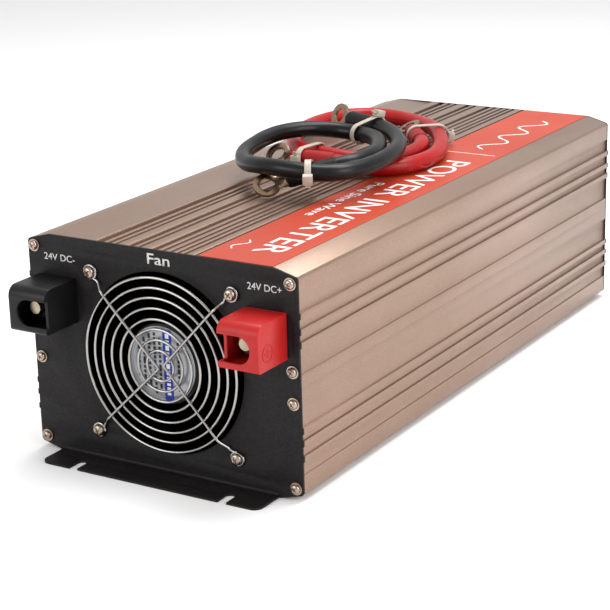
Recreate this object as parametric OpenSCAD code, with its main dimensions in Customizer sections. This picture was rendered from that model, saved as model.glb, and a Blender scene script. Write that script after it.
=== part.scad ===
// Power inverter: a two-shell extruded case closed by black end plates, with a guarded fan
// and two covered battery terminals on the front, mains outlets on the rear, and a pair of
// tied battery cables lying on the lid. Millimetres, +Z up, front plate facing -Y.

/* [Case] */
// Width over the side walls
case_w = 200; // [196:1:206]
// Height of the closed case
case_h = 145.4; // [145:0.2:149]
// Length over both end plates
body_l = 462; // [440:1:500]
// Thickness of the shell walls
wall = 2.8; // [2.4:0.1:3]
// Depth of the grooves between the lid ribs
groove_d = 4.5; // [3:0.5:5]
// How far the side ribs stand out of the recessed side wall
side_rib_d = 1.6; // [1.2:0.1:2]

/* [End plates] */
// Thickness of each end plate
plate_t = 1.5; // [1.2:0.1:2]
// Depth of each mounting flange
flange_d = 24; // [22:1:26]
// Length of each mounting flange
flange_w = 165; // [160:1:168]
// Distance between the two slots of a flange
slot_pitch = 113; // [106:1:120]
// Width of a flange slot
slot_w = 6.6; // [5.5:0.1:7]

/* [Fan] */
// Side of the square fan frame
fan_w = 120; // [119:1:121]
// Depth of the fan
fan_d = 38; // [36:1:40]
// Distance between the fan screws
fan_pitch = 105; // [104.5:0.5:105.5]
// Number of fan blades
blade_count = 7; // [5:1:9]
// Wire diameter of the fan guard
guard_wire = 2; // [1.8:0.1:2.2]

/* [Terminals] */
// Distance of each battery terminal from the middle of the front plate
terminal_x = 77.75; // [77:0.25:78]
// Height of the battery terminals above the fan centre
terminal_z = 32; // [31:0.5:33]
// Width of a terminal cover
cover_w = 28.5; // [28:0.5:29]
// Height of a terminal cover
cover_h = 29; // [28.5:0.5:30]
// Depth of a terminal cover
cover_d = 32; // [31:0.5:33]
// Radius of a terminal stud
stud_r = 5; // [4.9:0.05:5.05]

/* [Cables] */
// Diameter over the cable jacket
cable_d = 11.5; // [11:0.1:11.5]
// Hole of a cable lug
lug_hole_d = 10.5; // [10.4:0.1:11]
// Outside diameter of a lug's ring
lug_ring_d = 18.5; // [18:0.5:19]

/* [Circuit board] */
// Width of the main board
board_w = 168; // [160:1:170]
// Length of the main board
board_l = 380; // [375:1:385]
// Number of transformers in the row
transformer_count = 4; // [3:1:4]
// Number of input capacitors
input_cap_count = 8; // [6:1:8]

/* [Hidden] */
$fn = 48;

front_y = -(body_l / 2) + (cover_d - flange_d) / 2;
rear_y = front_y + body_l;
mid_z = case_h / 2;
half_w = case_w / 2;
inner_front = front_y + plate_t;
inner_rear = rear_y - plate_t;
shell_l = inner_rear - inner_front;

corner_z = mid_z - 4.1;
chamfer_w = 16.6;
recess = 0.8;
band_z = 8.4;
recess_top = 55.4;
side_rib_z = [26.9, 35, 44.8];
side_rib_h = 3.6;
groove_spans = [
    [-46.2, -40.8], [-38, -34.8], [-32.4, -29.8], [-21.8, -17.6], [-15.2, -12.4], [-4.2, 0],
    [3, 5.6], [8.8, 11.2], [14, 16.4], [18.8, 21.4], [27, 28.8]
];
screw_x = 95;
screw_z = [64.3, 10];
pilot_r = 2;

fan_x = 1.3;
hub_r = 25;
duct_r = 58;
ring_radii = [9.8, 16.6, 23.5, 29.9, 36.8, 43.5, 49.9, 56.3];
guard_ring_y = front_y - 3.8;
guard_wire_y = guard_ring_y - guard_wire + 0.5;
hub_front = inner_front - 1.3;
rotor_front = inner_front + 7;
rotor_rear = inner_front + fan_d - 3;

board_z = 14;
board_t = 1.6;
board_y = inner_front + fan_d + 20;
board_top = board_z + board_t;

transformer_y = board_y + 84;
transformer_pitch = 46;
sink_x = 70;

block_w = 23.6;
block_d = 9;
terminal_washer_t = 1.6;
terminal_nut_h = 7;
terminal_nut_end = block_d + terminal_washer_t + terminal_nut_h;
stud_end = 24;
// How much thinner a stud's shank is than its free end
shank_drop = 0.5;

outlet_x = 52;
outlet_z = 84;
switch_z = 92;
rocker_tilt = 8;
vent_rows = 5;
ground_x = -84;
ground_z = 26;
ground_nut_h = 5;
ground_r = 3;

body_gap = 0.3;
cable_r = cable_d / 2;
lug_plate_t = 2.4;
lug_barrel_r = 5.2;
lug_l = 30;
sleeve_l = 36;
sleeve_start = 13;
sleeve_end = sleeve_start + sleeve_l;
sleeve_r = 6.5;

// Each lug: ring centre (x, y from the front plate, height above the lid), heading, pitch, roll.
red_lug_a = [[-48.5, 216.5, 8.6], -5, 0, 40];
red_lug_b = [[-5.3, 331.4, 8.8], -51.5, 0, 25];
black_lug_a = [[-10, 141, 7.4], 44, -11, 38];
black_lug_b = [[-45.4, 299, 20.5], -25.8, 0, 68];

// Routes of the cables between their lugs, measured like the lugs.
red_route = [
    [14, 211.8, 7.8], [22, 213, 7.1], [31.5, 217, 6.7], [40.3, 223.5, 6.7], [46.5, 232.5, 6.7],
    [49.6, 244.5, 6.7], [50.3, 257.8, 6.7], [48.5, 271.5, 6.7], [44.5, 285, 7.2], [38, 299.5, 8],
    [28.5, 315.5, 8.8], [16, 332.5, 8.8], [1, 348.5, 7.6], [-17, 360.5, 6.7], [-37, 367.5, 6.7],
    [-54, 368, 6.7], [-68, 361.5, 6.7], [-77, 349.5, 6.7], [-81, 332.5, 6.7], [-81, 313, 6.7],
    [-77, 293, 6.7], [-70, 274.5, 6.7], [-60, 257.5, 6.7], [-46.5, 243, 7.2], [-31, 234.7, 8.1],
    [-15.5, 231.6, 8.1], [0, 232, 7.2], [13.5, 236.6, 6.7], [23.7, 245.2, 6.7],
    [30, 256.8, 6.7], [32.7, 270, 7.4], [31.2, 282, 8.4]
];
black_route = [
    [31.1, 181.5, 18.2], [33.7, 187.8, 18.7], [35, 195, 19], [35, 203, 19.1],
    [33.4, 212, 19.2], [29.6, 222.4, 19.2], [23.6, 234, 19.2], [15.6, 245.8, 19],
    [5.2, 256.6, 18], [-7.2, 265, 17],
    [-21.5, 267.5, 17.2], [-36, 263.2, 18.4], [-47.5, 253.5, 19.6], [-56, 239.3, 19.8],
    [-60, 222.5, 19], [-60.5, 204.5, 17], [-57, 187.6, 16], [-48.6, 171.9, 15.8],
    [-36.6, 157.8, 16.4], [-21.8, 147, 18.8], [-4.5, 140.6, 20.3], [13, 139.5, 20.2],
    [28, 142.8, 19.2], [39.7, 150, 19.2], [46.3, 163, 19.2], [48.8, 178.6, 19.2],
    [48.4, 195.4, 19.2], [45.9, 212, 19.2], [41.1, 228.6, 19.3], [33.6, 243.8, 19.6],
    [23.2, 257.6, 20.2], [12.6, 268.4, 20.5]
];

// Extrudes a drawing of x and height along Y, from y0 for the given length.
module along_y(y0, length) {
    translate([0, y0 + length, 0])
        rotate([90, 0, 0])
            linear_extrude(length)
                children();
}

// Turns a shape that stands on +Z so that it points along -Y from a face.
module facing_front(x, y, z) {
    translate([x, y, z])
        rotate([90, 0, 0])
            children();
}

module facing_rear(x, y, z) {
    translate([x, y, z])
        rotate([-90, 0, 0])
            children();
}

// ---------------------------------------------------------------- case

module half_outline() {
    polygon([
        [-half_w, 0], [half_w, 0], [half_w, corner_z - 1.5], [half_w - 1.2, corner_z],
        [half_w - chamfer_w, mid_z], [chamfer_w - half_w, mid_z],
        [1.2 - half_w, corner_z], [-half_w, corner_z - 1.5]
    ]);
}

module half_section() {
    difference() {
        union() {
            difference() {
                half_outline();
                for (s = [-1, 1])
                    translate([s * half_w - recess, band_z])
                        square([2 * recess, recess_top - band_z]);
            }
            for (s = [-1, 1], z = side_rib_z)
                translate([s * (half_w - recess) - side_rib_d, z - side_rib_h / 2])
                    square([2 * side_rib_d, side_rib_h]);
        }
        for (g = groove_spans)
            translate([g[0], mid_z - groove_d])
                square([g[1] - g[0], groove_d + 1]);
        // The plain strip beside the ribs slopes down a little towards them.
        polygon([[chamfer_w - half_w, mid_z + 0.01], [-53.4, mid_z - 0.8], [-53.4, mid_z + 1]]);
        difference() {
            polygon([
                [wall + recess - half_w, -1], [half_w - wall - recess, -1],
                [half_w - wall - recess, corner_z - wall], [half_w - chamfer_w, mid_z - groove_d - 2],
                [chamfer_w - half_w, mid_z - groove_d - 2], [wall + recess - half_w, corner_z - wall]
            ]);
            for (s = [-1, 1], z = screw_z)
                translate([s * screw_x, z])
                    circle(4.4);
        }
        translate([32, 60])
            square([49, mid_z - wall - 60]);
        translate([-81, 60])
            square([25, mid_z - wall - 61]);
        for (s = [-1, 1], z = screw_z)
            translate([s * screw_x, z])
                circle(pilot_r);
    }
}

module top_case() {
    color("#a38a7a")
        translate([0, 0, mid_z])
            along_y(inner_front, shell_l)
                half_section();
}

module bottom_case() {
    color("#a38a7a")
        translate([0, 0, mid_z])
            rotate([0, 180, 0])
                along_y(inner_front, shell_l)
                    half_section();
}

module top_label() {
    color("#c0563e")
        translate([29.4, inner_front, case_h])
            cube([53.4, shell_l, 0.3]);
}

// ---------------------------------------------------------------- end plates

module plate_outline() {
    half_outline();
    mirror([0, 1])
        half_outline();
    for (s = [-1, 1], v = [-1, 1], z = side_rib_z)
        translate([s * half_w, v * z])
            square([2 * (side_rib_d - recess), side_rib_h], center = true);
}

module flange() {
    corner_r = 6;
    difference() {
        union() {
            translate([-flange_w / 2, -flange_d + corner_r, 0])
                cube([flange_w, flange_d - corner_r, plate_t]);
            translate([corner_r - flange_w / 2, -flange_d, 0])
                cube([flange_w - 2 * corner_r, flange_d, plate_t]);
            for (s = [-1, 1])
                translate([s * (flange_w / 2 - corner_r), corner_r - flange_d, 0])
                    cylinder(r = corner_r, h = plate_t);
            // Inside of the bend
            difference() {
                translate([-flange_w / 2, -1.8, plate_t])
                    cube([flange_w, 1.8, 1.8]);
                translate([-flange_w / 2 - 1, -1.8, plate_t + 1.8])
                    rotate([0, 90, 0])
                        cylinder(r = 1.8, h = flange_w + 2);
            }
        }
        for (s = [-1, 1]) {
            translate([s * slot_pitch / 2 - slot_w / 2, -flange_d - 1, -1])
                cube([slot_w, 10.2, plate_t + 2]);
            translate([s * slot_pitch / 2, -flange_d + 9.2, -1])
                cylinder(d = slot_w, h = plate_t + 2);
        }
    }
}

module front_plate() {
    color("#1a1817") {
        difference() {
            along_y(front_y, plate_t)
                translate([0, mid_z])
                    plate_outline();
            facing_rear(fan_x, front_y - 1, mid_z)
                cylinder(r = duct_r + 1, h = plate_t + 2);
            for (x = [-1, 1], z = [-1, 1])
                facing_rear(fan_x + x * fan_pitch / 2, front_y - 1, mid_z + z * fan_pitch / 2)
                    cylinder(r = 2.2, h = plate_t + 2);
            for (x = [-1, 1], z = [-1, 1], dz = screw_z)
                facing_rear(x * screw_x, front_y - 1, mid_z + z * dz)
                    cylinder(r = 2.2, h = plate_t + 2);
            for (x = [-1, 1])
                facing_rear(x * terminal_x, front_y - 1, mid_z + terminal_z)
                    cylinder(r = 8.05, h = plate_t + 2);
        }
        translate([0, front_y, 0])
            flange();
    }
}

module rear_plate() {
    color("#1a1817") {
        difference() {
            along_y(inner_rear, plate_t)
                translate([0, mid_z])
                    plate_outline();
            for (x = [-1, 1], z = [-1, 1], dz = screw_z)
                facing_rear(x * screw_x, inner_rear - 1, mid_z + z * dz)
                    cylinder(r = 2.2, h = plate_t + 2);
            for (s = [-1, 1])
                facing_rear(s * outlet_x, inner_rear - 1, outlet_z)
                    cylinder(r = 21.3, h = plate_t + 2);
            translate([-14.3, inner_rear - 1, switch_z - 10.8])
                cube([28.6, plate_t + 2, 21.6]);
            for (x = [-9, 9])
                facing_rear(x, inner_rear - 1, 120)
                    cylinder(r = 2.6, h = plate_t + 2);
            translate([-7, inner_rear - 1, 60])
                cube([14, plate_t + 2, 12]);
            facing_rear(ground_x, inner_rear - 1, ground_z)
                cylinder(r = 3.1, h = plate_t + 2);
            for (i = [0 : vent_rows - 1], c = [-1, 0, 1])
                translate([c * 42 - 16, inner_rear - 1, 18 + i * 7])
                    cube([32, plate_t + 2, 3.2]);
        }
        translate([0, rear_y, 0])
            rotate([0, 0, 180])
                flange();
    }
}

// Pan-head screw: head at z = 0 upwards, shank downwards.
module screw(head_r, head_h, shank_r, shank_l) {
    difference() {
        union() {
            cylinder(r = head_r, h = head_h * 0.55);
            translate([0, 0, head_h * 0.55])
                cylinder(r1 = head_r, r2 = head_r * 0.62, h = head_h * 0.45);
            translate([0, 0, -shank_l])
                cylinder(r = shank_r, h = shank_l + 0.1);
        }
        for (a = [0, 90])
            rotate([0, 0, a])
                translate([-head_r * 0.55, -head_r * 0.11, head_h * 0.45])
                    cube([head_r * 1.1, head_r * 0.22, head_h]);
    }
}

module washer(outer_r, inner_r, thickness) {
    difference() {
        cylinder(r = outer_r, h = thickness);
        translate([0, 0, -1])
            cylinder(r = inner_r, h = thickness + 2);
    }
}

module front_screws() {
    color("#c9c0b8")
        for (x = [-1, 1], z = [-1, 1], dz = screw_z)
            facing_front(x * screw_x, front_y - 0.8, mid_z + z * dz)
                screw(3.2, 2.4, 1.95, 14);
}

module front_washers() {
    color("#d8d2c8")
        for (x = [-1, 1], z = [-1, 1], dz = screw_z)
            facing_front(x * screw_x, front_y, mid_z + z * dz)
                washer(4.1, 2.05, 0.8);
}

module rear_screws() {
    color("#c9c0b8")
        for (x = [-1, 1], z = [-1, 1], dz = screw_z)
            facing_rear(x * screw_x, rear_y + 0.8, mid_z + z * dz)
                screw(3.2, 2.4, 1.95, 14);
}

module rear_washers() {
    color("#d8d2c8")
        for (x = [-1, 1], z = [-1, 1], dz = screw_z)
            facing_rear(x * screw_x, rear_y, mid_z + z * dz)
                washer(4.1, 2.05, 0.8);
}

// ---------------------------------------------------------------- fan

// Straight wire with a ball at its start, which closes the bend there.
module wire(a, b, r) {
    d = b - a;
    length = norm(d);
    translate(a)
        rotate([0, acos(d[2] / length), atan2(d[1], d[0])]) {
            cylinder(r = r, h = length, $fn = 24);
            sphere(r = r + 0.04, $fn = 24);
        }
}

// Half of the bent wire that crosses the rings, with an eyelet at each screw.
module guard_stay(s, vertex_x, vertex_z) {
    r = guard_wire / 2;
    hole = fan_pitch / 2;
    bend = hole - 7.5;
    foot_at = hole - 3.2;
    vertex = [fan_x + vertex_x, guard_wire_y, mid_z + vertex_z];
    translate(vertex)
        sphere(r = r + 0.04, $fn = 24);
    for (v = [-1, 1]) {
        high = [fan_x + s * (bend - 5), guard_wire_y, mid_z + v * (bend - 5)];
        low = [fan_x + s * bend, front_y - r, mid_z + v * bend];
        wire(high, vertex, r);
        wire(low, high, r);
        wire([fan_x + s * foot_at, front_y - r, mid_z + v * foot_at], low, r);
        facing_front(fan_x + s * hole, front_y - r, mid_z + v * hole)
            rotate_extrude($fn = 32)
                translate([4.4, 0])
                    circle(r - 0.1, $fn = 24);
    }
}

module fan_guard() {
    color("#d6d4d0") {
        for (r = ring_radii)
            facing_front(fan_x, guard_ring_y, mid_z)
                rotate_extrude($fn = 96)
                    translate([r, 0])
                        circle(guard_wire / 2, $fn = 24);
        guard_stay(-1, -0.2, -1.5);
        guard_stay(1, 3.5, 1.2);
    }
}

module fan_screws() {
    color("#c9c0b8")
        for (x = [-1, 1], z = [-1, 1])
            facing_front(fan_x + x * fan_pitch / 2, front_y - guard_wire, mid_z + z * fan_pitch / 2)
                screw(3.9, 2.8, 2, fan_d + plate_t + guard_wire + 6);
}

module fan_nuts() {
    color("#c9c0b8")
        for (x = [-1, 1], z = [-1, 1])
            facing_rear(fan_x + x * fan_pitch / 2, inner_front + fan_d, mid_z + z * fan_pitch / 2)
                nut(8.1, 2.05, 3.2);
}

module fan_frame() {
    corner_r = 6;
    rim = 4.5;
    color("#191919")
        facing_rear(fan_x, inner_front, mid_z) {
            difference() {
                union() {
                    for (z = [0, fan_d - rim])
                        translate([0, 0, z]) {
                            translate([corner_r - fan_w / 2, -fan_w / 2, 0])
                                cube([fan_w - 2 * corner_r, fan_w, rim]);
                            translate([-fan_w / 2, corner_r - fan_w / 2, 0])
                                cube([fan_w, fan_w - 2 * corner_r, rim]);
                            for (x = [-1, 1], y = [-1, 1])
                                translate([x, y, 0] * (fan_w / 2 - corner_r))
                                    cylinder(r = corner_r, h = rim);
                        }
                    cylinder(r = fan_w / 2 - 0.2, h = fan_d);
                }
                translate([0, 0, -1])
                    cylinder(r = duct_r, h = fan_d + 2, $fn = 96);
                for (x = [-1, 1], y = [-1, 1])
                    translate([x * fan_pitch / 2, y * fan_pitch / 2, -1])
                        cylinder(r = 2.2, h = fan_d + 2);
            }
            translate([0, 0, hub_front - inner_front])
                cylinder(r = hub_r + 1, h = 6);
            for (a = [20, 110, 200, 290])
                rotate([0, 0, a])
                    translate([hub_r - 1, -2, 1.5])
                        cube([duct_r - hub_r + 2, 4, 4.5]);
            // Bearing tube
            translate([0, 0, 4])
                difference() {
                    cylinder(r = 6.5, h = 22);
                    translate([0, 0, 0.5])
                        cylinder(r = 5, h = 23);
                }
        }
}

module fan_sticker() {
    color("#b9b6b2")
        facing_front(fan_x - 1.2, hub_front, mid_z - 0.4)
            cylinder(r = hub_r - 0.3, h = 0.3);
}

module fan_bearings() {
    color("#c4c4c8")
        for (y = [5, 20])
            facing_rear(fan_x, inner_front + y, mid_z)
                washer(4.98, 2.05, 4);
}

module fan_stator() {
    color("#b3672e")
        facing_rear(fan_x, inner_front + 8, mid_z)
            difference() {
                union() {
                    cylinder(r = 9, h = 15);
                    for (a = [0 : 90 : 270])
                        rotate([0, 0, a]) {
                            translate([0, -3, 1])
                                cube([18, 6, 13]);
                            translate([15, -7, 2])
                                cube([3, 14, 11]);
                        }
                }
                translate([0, 0, -1])
                    cylinder(r = 6.55, h = 17);
            }
}

module fan_rotor() {
    blade_h = 24;
    color("#151515")
        facing_rear(fan_x, rotor_front, mid_z) {
            difference() {
                cylinder(r = hub_r, h = rotor_rear - rotor_front);
                translate([0, 0, -1])
                    cylinder(r = hub_r - 2.5, h = rotor_rear - rotor_front - 1.5);
                translate([0, 0, rotor_rear - rotor_front - 3])
                    cylinder(r = 2, h = 4);
            }
            translate([0, 0, rotor_rear - rotor_front - 5])
                difference() {
                    cylinder(r = 4.5, h = 4);
                    translate([0, 0, -1])
                        cylinder(r = 2, h = 6);
                }
            intersection() {
                difference() {
                    cylinder(r = duct_r - 1.5, h = rotor_rear - rotor_front);
                    translate([0, 0, -1])
                        cylinder(r = hub_r - 0.5, h = rotor_rear - rotor_front + 2);
                }
                for (i = [0 : blade_count - 1])
                    rotate([0, 0, i * 360 / blade_count])
                        translate([0, 0, (rotor_rear - rotor_front) / 2])
                            rotate([42, 0, 0])
                                translate([hub_r - 2, -0.9, -blade_h / 2 - 3])
                                    cube([duct_r - hub_r + 2, 1.8, blade_h + 6]);
            }
        }
}

module fan_magnet() {
    color("#555555")
        facing_rear(fan_x, rotor_front + 1, mid_z)
            washer(hub_r - 2.5, hub_r - 5, 22);
}

module fan_shaft() {
    color("#c4c4c8")
        facing_rear(fan_x, inner_front + 5, mid_z)
            cylinder(r = 2, h = rotor_rear - inner_front - 5);
}

module fan_lead() {
    lead_z = mid_z - 50;
    color("#b01c1c")
        for (dx = [0, 1])
            translate([-33 + dx * 2.4, inner_front + fan_d + 0.6, lead_z]) {
                rotate([-90, 0, 0])
                    cylinder(r = 0.9, h = 22, $fn = 24);
                translate([0, 22, 0])
                    sphere(r = 0.9, $fn = 24);
                translate([0, 22, board_top + 0.1 - lead_z])
                    cylinder(r = 0.9, h = lead_z - board_top - 0.1, $fn = 24);
            }
}

// ---------------------------------------------------------------- battery terminals

module terminal_blocks() {
    color("#161616")
        for (s = [-1, 1])
            facing_front(s * terminal_x, front_y, mid_z + terminal_z)
                difference() {
                    union() {
                        translate([-block_w / 2, -block_w / 2, 0])
                            cube([block_w, block_w, block_d]);
                        translate([0, 0, -6])
                            cylinder(r = 8, h = 7);
                    }
                    translate([0, 0, -7])
                        cylinder(r = stud_r + 0.02, h = block_d + 8);
                }
}

// Thread, a little thinner where it carries the nuts, with its full radius at the free end.
module stud(r, back, nut_end, end) {
    translate([0, 0, -back])
        cylinder(r = r - shank_drop, h = back + nut_end);
    translate([0, 0, nut_end])
        cylinder(r = r, h = end - nut_end);
}

module nut(across_corners, hole_r, height) {
    difference() {
        cylinder(d = across_corners, h = height, $fn = 6);
        translate([0, 0, -1])
            cylinder(r = hole_r, h = height + 2);
    }
}

module terminal_studs() {
    color("#cfc9b8")
        for (s = [-1, 1])
            facing_front(s * terminal_x, front_y, mid_z + terminal_z)
                stud(stud_r, 20, terminal_nut_end, stud_end);
}

module terminal_washers() {
    color("#d8d2c8")
        for (s = [-1, 1], z = [block_d, -8.6])
            facing_front(s * terminal_x, front_y, mid_z + terminal_z)
                translate([0, 0, z])
                    washer(9.5, stud_r + 0.05, terminal_washer_t);
}

module terminal_nuts() {
    color("#cfc9b8")
        for (s = [-1, 1], z = [terminal_nut_end - terminal_nut_h, -15.6])
            facing_front(s * terminal_x, front_y, mid_z + terminal_z)
                translate([0, 0, z])
                    nut(19.6, stud_r - shank_drop, terminal_nut_h);
}

// Side view of a cover: depth towards the front is +x, height is y.
module cover_profile(grow, back) {
    front_r = 7 + grow;
    low_r = 2.5 + grow;
    depth = cover_d + grow;
    high = cover_h / 2 + grow;
    translate([back, -high])
        square([depth - front_r - back, 2 * high]);
    translate([back, low_r - high])
        square([depth - back, 2 * high - low_r - front_r]);
    translate([back, -high])
        square([depth - low_r - back, 2 * high - front_r]);
    translate([depth - front_r, high - front_r])
        circle(front_r);
    translate([depth - low_r, low_r - high])
        circle(low_r);
}

// Slip-on cover: outer = +1 or -1 is the side away from the fan.
module terminal_cover(outer, tab_back) {
    shell = 2.2;
    mouth_h = 17;
    translate([0, front_y, mid_z + terminal_z])
        difference() {
            rotate([0, 0, -90])
                rotate([90, 0, 0])
                    translate([0, 0, -cover_w / 2])
                        linear_extrude(cover_w)
                            cover_profile(0, body_gap);
            rotate([0, 0, -90])
                rotate([90, 0, 0])
                    translate([0, 0, shell - cover_w / 2])
                        linear_extrude(cover_w - 2 * shell)
                            cover_profile(-shell, -1);
            // Mouth for the cable: round towards the outside, open towards the fan
            translate([outer * (cover_w / 2 - 6 - mouth_h / 2), -cover_d - 1, -1.5])
                rotate([-90, 0, 0])
                    cylinder(d = mouth_h, h = 12);
            translate([-outer * (cover_w / 2 + 1) - (outer > 0 ? 0 : cover_w - 5 - mouth_h / 2),
                       -cover_d - 1, -1.5 - mouth_h / 2])
                cube([cover_w - 5 - mouth_h / 2, tab_back + 1, mouth_h]);
            translate([-outer * (cover_w / 2 - 6.4) - (outer > 0 ? 0 : 7),
                       -cover_d - 1, -1.5 - mouth_h / 2])
                cube([7, 12, mouth_h]);
        }
}

module positive_cover() {
    color("#be2a26")
        translate([terminal_x, 0, 0])
            terminal_cover(1, 7.5);
}

module negative_cover() {
    color("#161616")
        translate([-terminal_x, 0, 0])
            terminal_cover(-1, 3);
}

module busbars() {
    bar_y = front_y + 15.7;
    run_x = 67;
    color("#c07a3c")
        for (s = [-1, 1])
            difference() {
                union() {
                    translate([s * 73 - 12, bar_y, mid_z + terminal_z - 12])
                        cube([24, 2.4, 24]);
                    translate([s * run_x - 6, bar_y, board_top + 0.1])
                        cube([12, 2.4, mid_z + terminal_z - 12 - board_top]);
                    translate([s * run_x - 6, bar_y, board_top + 0.1])
                        cube([12, board_y - bar_y + 14, 2.4]);
                }
                facing_rear(s * terminal_x, front_y + 14, mid_z + terminal_z)
                    cylinder(r = stud_r + 0.1, h = 6);
            }
}

// ---------------------------------------------------------------- electronics

module main_board() {
    color("#1f5c36")
        difference() {
            translate([-board_w / 2, board_y, board_z])
                cube([board_w, board_l, board_t]);
            for (x = [-1, 1], i = [0 : 3])
                translate([x * (board_w / 2 - 5), board_y + 8 + i * (board_l - 16) / 3, board_z - 1])
                    cylinder(r = 1.7, h = board_t + 2);
        }
}

module board_standoffs() {
    color("#c8b46a")
        for (x = [-1, 1], i = [0 : 3])
            translate([x * (board_w / 2 - 5), board_y + 8 + i * (board_l - 16) / 3, 6.5])
                difference() {
                    cylinder(r = 3.2, h = board_z - 6.5, $fn = 6);
                    translate([0, 0, 1])
                        cylinder(r = 1.55, h = board_z);
                }
}

module board_screws() {
    color("#c9c0b8")
        for (x = [-1, 1], i = [0 : 3])
            translate([x * (board_w / 2 - 5), board_y + 8 + i * (board_l - 16) / 3, board_top])
                screw(2.9, 2, 1.5, 6.5);
}

module transformers() {
    color("#4a4a4e")
        for (i = [0 : transformer_count - 1])
            translate([-22, transformer_y + i * transformer_pitch, board_top + 4])
                difference() {
                    cube([44, 16, 42]);
                    for (x = [8, 27])
                        translate([x, -1, 8])
                            cube([9, 18, 26]);
                }
}

module transformer_windings() {
    color("#d9c24a")
        for (i = [0 : transformer_count - 1])
            translate([0, transformer_y + i * transformer_pitch + 8, board_top])
                difference() {
                    union() {
                        cylinder(r = 13.6, h = 37.6);
                        translate([-20, -17, 0])
                            cube([40, 34, 3.8]);
                    }
                    translate([-23, -8.1, 3.9])
                        cube([46, 16.2, 8.3]);
                    translate([-5.1, -8.1, 3.9])
                        cube([10.2, 16.2, 40]);
                }
}

module input_capacitors() {
    color("#23304f")
        for (i = [0 : input_cap_count - 1])
            translate([-60 + (i % 4) * 21, board_y + 26 + floor(i / 4) * 21, board_top])
                cylinder(r = 9, h = 36);
}

module output_capacitors() {
    color("#23304f")
        for (x = [-1, 1])
            translate([x * 22, board_y + 306, board_top])
                cylinder(r = 15, h = 46);
}

module output_inductor() {
    color("#b3672e")
        translate([0, board_y + 350, board_top + 0.1])
            rotate_extrude()
                translate([14, 9])
                    circle(8.8);
}

module heat_sink_bars() {
    color("#8f8f92")
        for (s = [-1, 1])
            translate([s * sink_x - 3, board_y + 60, board_top + 0.1])
                difference() {
                    cube([6, 290, 50]);
                    translate([s > 0 ? 2.6 : -1, -1, 40])
                        cube([4.4, 292, 4]);
                }
}

module transistors() {
    color("#202024")
        for (s = [-1, 1], i = [0 : 7])
            translate([s * (sink_x - 5.5) - 2.3, board_y + 70 + i * 34, board_top + 14])
                cube([4.6, 15, 20]);
}

module fuses() {
    color("#3c8a4a")
        for (i = [0 : 5])
            translate([30 + (i % 3) * 11, board_y + 20 + floor(i / 3) * 24, board_top])
                cube([5, 19, 18]);
}

module control_board() {
    color("#1f5c36")
        translate([-44, board_y + 284, board_top + 0.05])
            cube([88, 1.6, 44]);
}

// ---------------------------------------------------------------- rear plate fittings

module ac_outlets() {
    color("#202020")
        for (s = [-1, 1])
            facing_rear(s * outlet_x, rear_y, outlet_z)
                difference() {
                    union() {
                        translate([-23, -25, 0])
                            cube([46, 50, 4]);
                        translate([0, 0, -22])
                            cylinder(r = 21, h = 23);
                    }
                    translate([0, 0, -14.5])
                        cylinder(r = 19.4, h = 20);
                    for (x = [-9.5, 9.5])
                        translate([x, 0, -23])
                            cylinder(r = 3.2, h = 12);
                }
}

module ac_contacts() {
    color("#c8b46a")
        for (s = [-1, 1]) {
            for (x = [-9.5, 9.5])
                facing_rear(s * outlet_x + x, rear_y - 26, outlet_z)
                    difference() {
                        cylinder(r = 3.1, h = 11);
                        translate([0, 0, 2])
                            cylinder(r = 2.45, h = 10);
                    }
            for (v = [-1, 1])
                translate([s * outlet_x - 2.5, rear_y - 14.3, outlet_z + v * 18 - 1.1])
                    cube([5, 11, 2.2]);
        }
}

module ac_harness() {
    color("#8a5a30")
        for (s = [-1, 1], x = [-9.5, 9.5])
            translate([s * outlet_x + x, rear_y - 46, outlet_z]) {
                rotate([-90, 0, 0])
                    cylinder(r = 1.6, h = 19.8, $fn = 24);
                sphere(r = 1.6, $fn = 24);
                translate([0, 0, board_top + 0.1 - outlet_z])
                    cylinder(r = 1.6, h = outlet_z - board_top - 0.1, $fn = 24);
            }
}

module switch_frame() {
    color("#151515")
        translate([0, rear_y, switch_z])
            difference() {
                union() {
                    translate([-15.5, 0, -12])
                        cube([31, 2, 24]);
                    translate([-14, -20, -10.5])
                        cube([28, 20.5, 21]);
                }
                translate([-12.6, -8, -8.6])
                    cube([25.2, 12, 17.2]);
            }
}

// Pressed at its lower end, which is the off position.
module switch_rocker() {
    color("#a01818")
        translate([0, rear_y - 2.5, switch_z])
            rotate([-rocker_tilt, 0, 0]) {
                difference() {
                    translate([-12.2, -3.5, -7])
                        cube([24.4, 8, 14]);
                    for (s = [-1, 1])
                        translate([-13, 12.2, s * 8])
                            rotate([0, 90, 0])
                                cylinder(r = 9, h = 26);
                }
                translate([-12.2, 0, 0])
                    rotate([0, 90, 0])
                        cylinder(r = 3.6, h = 24.4);
            }
}

module indicator_lights() {
    color("#4bb543")
        for (x = [-9, 9])
            facing_rear(x, rear_y, 120) {
                translate([0, 0, -8])
                    cylinder(r = 2.5, h = 8.4);
                cylinder(r = 3.6, h = 0.9);
                translate([0, 0, 0.9])
                    sphere(r = 2.5);
            }
}

module remote_socket() {
    color("#26262a")
        translate([0, rear_y, 66])
            difference() {
                union() {
                    translate([-8, 0, -7])
                        cube([16, 1, 14]);
                    translate([-6.8, -15, -5.8])
                        cube([13.6, 15.5, 11.6]);
                }
                translate([-5, -13, -3.6])
                    cube([10, 15, 7.2]);
            }
}

module ground_stud() {
    color("#cfc9b8")
        facing_rear(ground_x, rear_y, ground_z)
            stud(ground_r, 6, ground_nut_h, 14);
}

module ground_nut() {
    color("#cfc9b8")
        facing_rear(ground_x, rear_y, ground_z)
            for (z = [0, -plate_t - ground_nut_h])
                translate([0, 0, z])
                    nut(11.5, ground_r - shank_drop, ground_nut_h);
}

// ---------------------------------------------------------------- battery cables

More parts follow.
